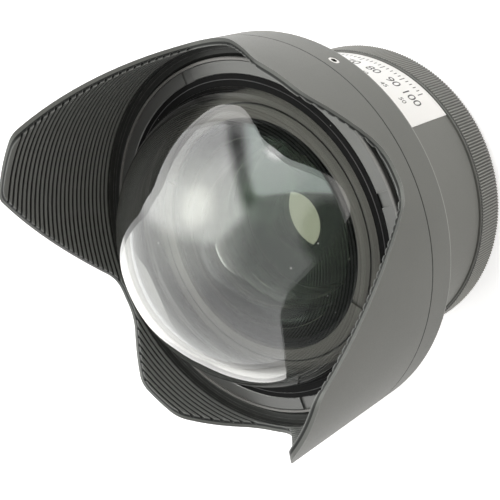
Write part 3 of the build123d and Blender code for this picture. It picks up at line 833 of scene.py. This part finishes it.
def inkMaterial(look):
    material, tree, shader = startMaterial("labelInk")
    cloud = noise(tree, objectCoordinates(tree), 700.0, 3.0)
    color = blendColors(tree, cloud, look["inkColor"], look["inkShade"])
    tree.links.new(color, shader.inputs["Base Color"])
    shader.inputs["Roughness"].default_value = 0.5
    return material


def bentText(text, size, angle, height, look):
    # Lettering with its top to the rear, bent round the axis
    curve = bpy.data.curves.new("lettering", "FONT")
    curve.body = text
    curve.size = size
    curve.extrude = look["ink"] / 2
    curve.align_x = "CENTER"
    holder = bpy.data.objects.new("lettering", curve)
    scene.collection.objects.link(holder)
    depsgraph = bpy.context.evaluated_depsgraph_get()
    mesh = bpy.data.meshes.new_from_object(holder.evaluated_get(depsgraph), depsgraph=depsgraph)
    bpy.data.objects.remove(holder)
    for corner in mesh.vertices:
        across, along, out = corner.co
        turn = math.radians(angle) - across / look["radius"]
        radius = look["radius"] + out
        corner.co = (radius * math.cos(turn), radius * math.sin(turn), height - along)
    return mesh


def addPrint(look):
    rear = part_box(look["node"])[0].z
    ink = inkMaterial(look)
    ticks = tickTree(ink)
    step = math.radians(look["step"])
    start = math.radians(look["start"])
    # Short ticks stand between the long ones: length, count, first place, step and group
    between = look["fine"] - 1
    shortStep = step / look["fine"]
    rows = [
        (look["longTick"], look["count"], start, step, look["count"]),
        (look["shortTick"], (look["count"] - 1) * between, start - shortStep, shortStep, between),
    ]
    meshes = []
    for length, count, first, gap, group in rows:
        values = {
            "Radius": look["radius"],
            "Count": count,
            "Start": first,
            "Step": -gap,
            "Group": group,
            "Bar": (look["ink"], look["barWidth"], length),
            "Height": rear + look["ticksFromRear"] + length / 2,
        }
        meshes.append(grow(ticks, values))
    for k in range(look["count"]):
        angle = look["start"] - k * look["step"]
        for gain, size, fromRear in look["numbers"]:
            meshes.append(bentText(str(gain * k), size, angle, rear + fromRear, look))
    piece = joinMeshes("label_print", meshes, ink)
    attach(piece, "lens_body")


addPrint(printLook)
print("thread and label print made")


# Studio: a pale floor, white surroundings and soft lamps.
# Far from the object the floor is as white as the surroundings, so that it has no horizon. Its reflection
# is warmer, and dimmer towards -Y. Through the glasses it is dimmed, and the light it sends on is tinted.
floorLook = {
    "size": 6.0,
    "color": (0.86, 0.86, 0.86),
    "bounce": (0.68, 0.665, 0.63),
    "dimmed": (0.14, 0.14, 0.135),
    "glow": 0.55,
    "farGlow": 1.0,
    "farFrom": 0.35,
    "farTo": 1.6,
    "mirrored": 0.60,
    "mirroredColor": (1.0, 0.98, 0.94),
    "shadyMirrored": 0.15,
    "shadyFrom": -0.22,
    "shadyTo": -0.04,
}
# Strength of the surroundings as light on things, and the least that the dark panels leave of it
surroundings = {"ambient": 0.42, "darkest": 0.1}
lampTarget = Vector((0.0, 0.0, 0.07))
lamps = {
    "keyPanel": {"place": (0.8, 0.6, 1.3), "size": 1.0, "power": 17.0, "color": (1.0, 1.0, 1.0)},
    "sidePanel": {"place": (0.9, -1.0, 0.7), "size": 1.0, "power": 8.5, "color": (1.0, 0.95, 0.87)},
    "backPanel": {"place": (-1.1, 0.7, 0.8), "size": 1.0, "power": 11.0, "color": (1.0, 1.0, 1.0)},
}

# Bright and dark panels round the object, seen only in reflections and through the glasses. Each is cut
# out of the sky by soft-edged half spaces: azimuth and elevation of the side's normal in degrees, and the
# cosines between which it fades in.
ceilingPanel = {
    "strength": 1.5,
    "sides": [(138.0, 30.6, 0.05, 0.14), (28.0, 0.0, 0.0, 0.2), (75.0, 0.0, 0.02, 0.22)],
}
windowPanel = {
    "strength": 1.0,
    "color": (0.90, 1.0, 0.96),
    "sides": [(-42.0, -30.6, 0.03, 0.12), (57.4, -26.9, 0.02, 0.08), (10.0, -45.0, 0.0, 0.08)],
}
windowCore = {"strength": 0.5, "color": (0.98, 1.0, 0.985), "sides": [(12.0, 18.0, 0.84, 1.0)]}
windowSpark = {"strength": 1.7, "color": (1.0, 1.0, 1.0), "sides": [(14.0, 10.0, 0.990, 1.0)]}
highGlow = {"strength": 1.6, "color": (1.0, 0.98, 0.90), "sides": [(69.0, 55.0, 0.955, 1.0)]}
wideGlow = {"strength": 0.8, "color": (0.98, 1.0, 0.95), "sides": [(80.0, 58.0, 0.6, 1.0)]}
darkCurtain = {"strength": -0.4, "sides": [(-37.0, 46.0, 0.2, 0.85)]}
darkCorner = {"strength": -0.6, "sides": [(-53.0, 9.0, 0.88, 0.975)]}
darkStripe = {
    "strength": -0.75,
    "sides": [(138.0, 30.6, -0.18, 0.0), (-42.0, -30.6, -0.16, 0.0), (26.0, 31.0, 0.84, 0.94)],
}
darkEnd = {"strength": -0.85, "sides": [(66.0, 14.0, 0.88, 0.99)]}
panels = [
    ceilingPanel, windowPanel, windowCore, windowSpark, highGlow, wideGlow,
    darkCurtain, darkCorner, darkStripe, darkEnd,
]


def whiteToTheEye(tree):
    # 1 for rays from the camera, a mirror or a glass, and 0 for light that falls on things
    rays = addNode(tree, "ShaderNodeLightPath")
    seen = math2(tree, "ADD", rays.outputs["Is Camera Ray"], rays.outputs["Is Glossy Ray"], True)
    return math2(tree, "ADD", seen, rays.outputs["Is Transmission Ray"], True)


def panel(tree, direction, look):
    brightness = look["strength"]
    for azimuth, elevation, low, high in look["sides"]:
        flat = math.cos(math.radians(elevation))
        normal = (
            flat * math.cos(math.radians(azimuth)),
            flat * math.sin(math.radians(azimuth)),
            math.sin(math.radians(elevation)),
        )
        dot = addNode(tree, "ShaderNodeVectorMath", operation="DOT_PRODUCT")
        tree.links.new(direction, dot.inputs[0])
        dot.inputs[1].default_value = normal
        inside = remap(tree, dot.outputs["Value"], low, high, 0.0, 1.0, "SMOOTHSTEP")
        brightness = math2(tree, "MULTIPLY", inside, brightness)
    return brightness


def floorGlow(tree, look, place, direct):
    away = axisRadius(tree, place)
    across = axes(tree, place)[1]
    plain = remap(tree, away, look["farFrom"], look["farTo"], look["glow"], look["farGlow"])
    shady = look["shadyMirrored"]
    mirrored = remap(tree, across, look["shadyFrom"], look["shadyTo"], shady, look["mirrored"])
    strength = addNode(tree, "ShaderNodeMix", data_type="FLOAT")
    for socket, value in ((0, direct), (2, mirrored), (3, plain)):
        wire(tree, value, strength, socket)
    glow = addNode(tree, "ShaderNodeEmission")
    seenStrength = math2(tree, "MULTIPLY", whiteToTheEye(tree), strength.outputs[0])
    tree.links.new(seenStrength, glow.inputs["Strength"])
    color = blendColors(tree, direct, look["mirroredColor"], (1.0, 1.0, 1.0))
    tree.links.new(color, glow.inputs["Color"])
    return glow.outputs[0]


def makeFloor(look):
    half = look["size"] / 2
    corners = [(-half, -half, 0), (half, -half, 0), (half, half, 0), (-half, half, 0)]
    mesh = bpy.data.meshes.new("floor")
    mesh.from_pydata(corners, [], [(0, 1, 2, 3)])
    floor = bpy.data.objects.new("floor", mesh)
    scene.collection.objects.link(floor)
    material, tree, shader = startMaterial("floorPaper")
    tree.nodes.remove(shader)
    paper = addNode(tree, "ShaderNodeBsdfDiffuse")
    rays = addNode(tree, "ShaderNodeLightPath")
    color = blendColors(tree, rays.outputs["Is Diffuse Ray"], look["color"], look["bounce"])
    color = blendColors(tree, rays.outputs["Is Transmission Ray"], color, look["dimmed"])
    tree.links.new(color, paper.inputs["Color"])
    glow = floorGlow(tree, look, objectCoordinates(tree), rays.outputs["Is Camera Ray"])
    both = addNode(tree, "ShaderNodeAddShader")
    tree.links.new(paper.outputs[0], both.inputs[0])
    tree.links.new(glow, both.inputs[1])
    tree.links.new(both.outputs[0], tree.nodes["Material Output"].inputs["Surface"])
    mesh.materials.append(material)


def makeSurroundings(look, panels):
    world = bpy.data.worlds.new("studio")
    scene.world = world
    world.use_nodes = True
    tree = world.node_tree
    background = tree.nodes["Background"]
    direction = addNode(tree, "ShaderNodeTexCoord").outputs["Generated"]
    rays = addNode(tree, "ShaderNodeLightPath")
    seen = math2(tree, "ADD", rays.outputs["Is Glossy Ray"], rays.outputs["Is Transmission Ray"], True)
    extra = 0.0
    color = (1.0, 1.0, 1.0)
    for each in panels:
        light = math2(tree, "MULTIPLY", panel(tree, direction, each), seen)
        extra = math2(tree, "ADD", light, extra)
        if "color" in each:
            color = blendColors(tree, light, color, each["color"])
    tree.links.new(color, background.inputs["Color"])
    plain = remap(tree, whiteToTheEye(tree), 0.0, 1.0, look["ambient"], 1.0)
    strength = math2(tree, "MAXIMUM", math2(tree, "ADD", plain, extra), look["darkest"])
    tree.links.new(strength, background.inputs["Strength"])


def makeLamp(name, look):
    data = bpy.data.lights.new(name, "AREA")
    data.size = look["size"]
    data.energy = look["power"]
    data.color = look["color"]
    lamp = bpy.data.objects.new(name, data)
    lamp.location = look["place"]
    lamp.rotation_euler = (lampTarget - lamp.location).to_track_quat("-Z", "Y").to_euler()
    lamp.visible_glossy = False
    lamp.visible_transmission = False
    scene.collection.objects.link(lamp)


makeFloor(floorLook)
makeSurroundings(surroundings, panels)
for name, look in lamps.items():
    makeLamp(name, look)
print("studio lit")
